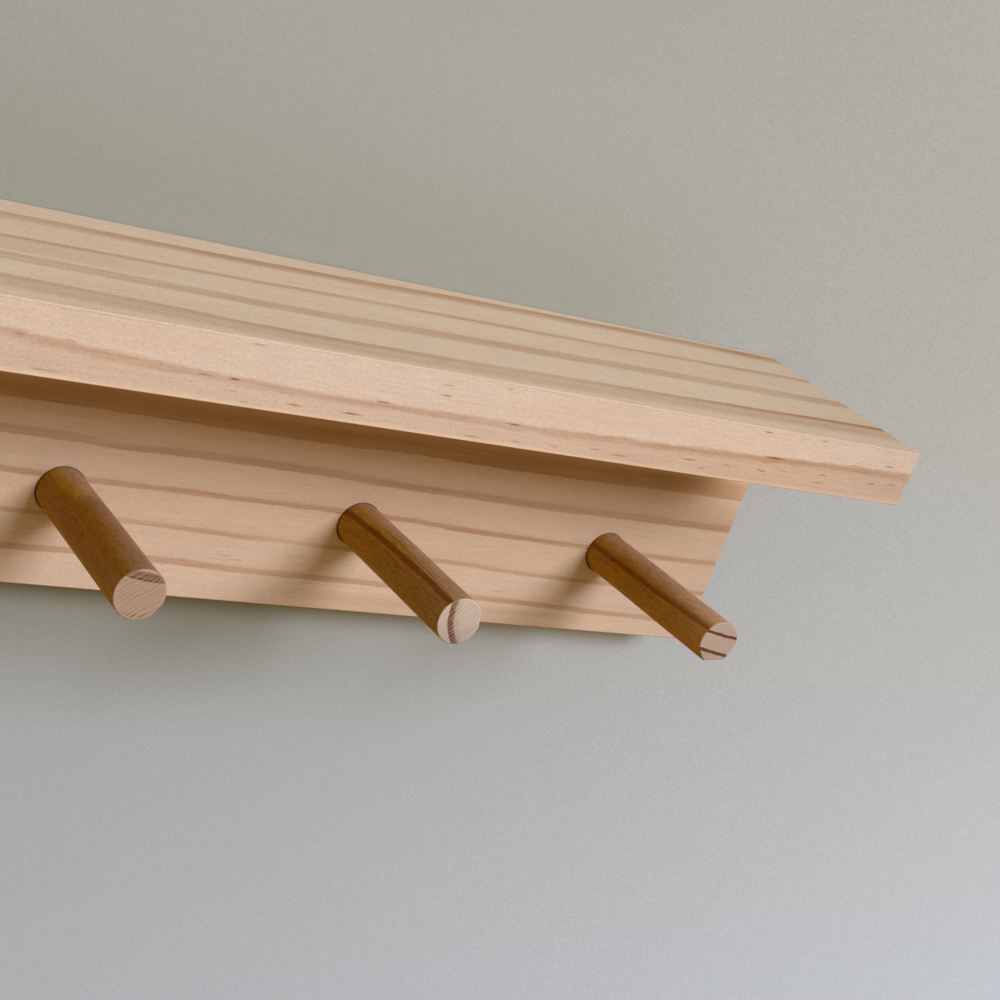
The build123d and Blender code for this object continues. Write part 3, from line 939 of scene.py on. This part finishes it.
REACH = 3.0  # metres to each side
FLOOR = -1.1
WALL_GAP = 0.0004  # behind the rail's back, so that the two don't flicker
wall = sheet(
    "wall",
    [(x, WALL_GAP, z) for x, z in ((-REACH, FLOOR), (REACH, FLOOR), (REACH, REACH), (-REACH, REACH))],
    wall_paint(),
)
wall.visible_diffuse = wall.visible_glossy = wall.visible_transmission = wall.visible_shadow = False
floor = sheet(
    "floor",
    [(x, y, FLOOR) for x, y in ((-REACH, -REACH), (REACH, -REACH), (REACH, REACH), (-REACH, REACH))],
    floor_paint(),
)
floor.visible_diffuse = floor.visible_glossy = False
print("the wall faces", tuple(round(n) for n in wall.data.polygons[0].normal))

# %% [markdown]
# ## Light and camera
#
# One wide window to the front right gives cool light and the soft shadows that fall down and to the
# left. The rest is room light, cool from above and warm and dim from below, where it comes off a
# wooden floor. Together they add up to plain white on the front of the rail, so a colour there
# looks as it is written, and the shadows turn warm.

# %% The window
WINDOW_SIDE = np.array([0.42, -1.0, 0.66])
WINDOW_DISTANCE = 5.0
WINDOW_LIGHT = np.array([0.765, 0.833, 0.998])  # what white paper that faces it gives back, about
WINDOW_WIDTH = 2.7
WINDOW_HEIGHT = 1.4
toward = WINDOW_SIDE / np.linalg.norm(WINDOW_SIDE)
window = bpy.data.lights.new("window", "AREA")
window.shape = "RECTANGLE"
window.size = WINDOW_WIDTH
window.size_y = WINDOW_HEIGHT
window.energy = float(WINDOW_LIGHT.max()) * math.pi**2 * WINDOW_DISTANCE**2
window.color = (WINDOW_LIGHT / WINDOW_LIGHT.max()).tolist()
window_lamp = bpy.data.objects.new("window", window)
bpy.context.scene.collection.objects.link(window_lamp)
window_lamp.location = (toward * WINDOW_DISTANCE).tolist()
window_lamp.rotation_euler = Vector(-toward).to_track_quat("-Z", "Y").to_euler()
print(f"the window gives {window.energy:.1f} W")

# %% The room's light
ROOM_COOL = (0.577, 0.694, 0.721, 1.0)
ROOM_WARM = (0.358, 0.242, 0.055, 1.0)


def room_light():
    """The world: a soft dome from warm to cool, which the camera sees as plain pale grey."""
    world = bpy.data.worlds.new("room")
    bpy.context.scene.world = world
    finish = Finish(world)
    direction = finish.node("TexCoord", {}, {}, "Generated")
    height = finish.parts(direction)[2]
    cool = height.step(-0.3, 1.0)
    dome = finish.blend(cool, ROOM_WARM, ROOM_COOL)
    room = finish.node("Background", {}, {"Color": dome, "Strength": 1.0})
    shown = finish.node("Background", {}, {"Color": linear(204, 205, 204), "Strength": 1.0})
    seen = finish.node("LightPath", {}, {}, "Is Camera Ray")
    mixed = finish.node("MixShader", {}, {0: seen, 1: room, 2: shown})
    end = finish.tree.nodes.new("ShaderNodeOutputWorld")
    finish.tree.links.new(mixed.socket, end.inputs["Surface"])


room_light()
print("the room is cool above and warm below")

# %% [markdown]
# The camera stands in front of the rail's left part, above the shelf, and looks down to the right.
# Its right side is tipped up, so the rail runs downhill through the picture, and off its left edge.

# %% The camera
CAMERA_PLACE = (-0.211256, -0.52782, 0.184624)
CAMERA_TURNS = (70.8656, -19.1633, -29.7992)  # degrees about X, Y and Z
CAMERA_LENS = 66.274  # millimetres
SENSOR_WIDTH = 36.0  # millimetres
camera = bpy.data.cameras.new("camera")
camera.lens = CAMERA_LENS
camera.sensor_width = SENSOR_WIDTH
camera_stand = bpy.data.objects.new("camera", camera)
bpy.context.scene.collection.objects.link(camera_stand)
camera_stand.location = CAMERA_PLACE
camera_stand.rotation_euler = [math.radians(turn) for turn in CAMERA_TURNS]
bpy.context.scene.camera = camera_stand
bpy.context.scene.view_settings.view_transform = "Standard"
print(f"a {camera.lens:.0f} mm lens")
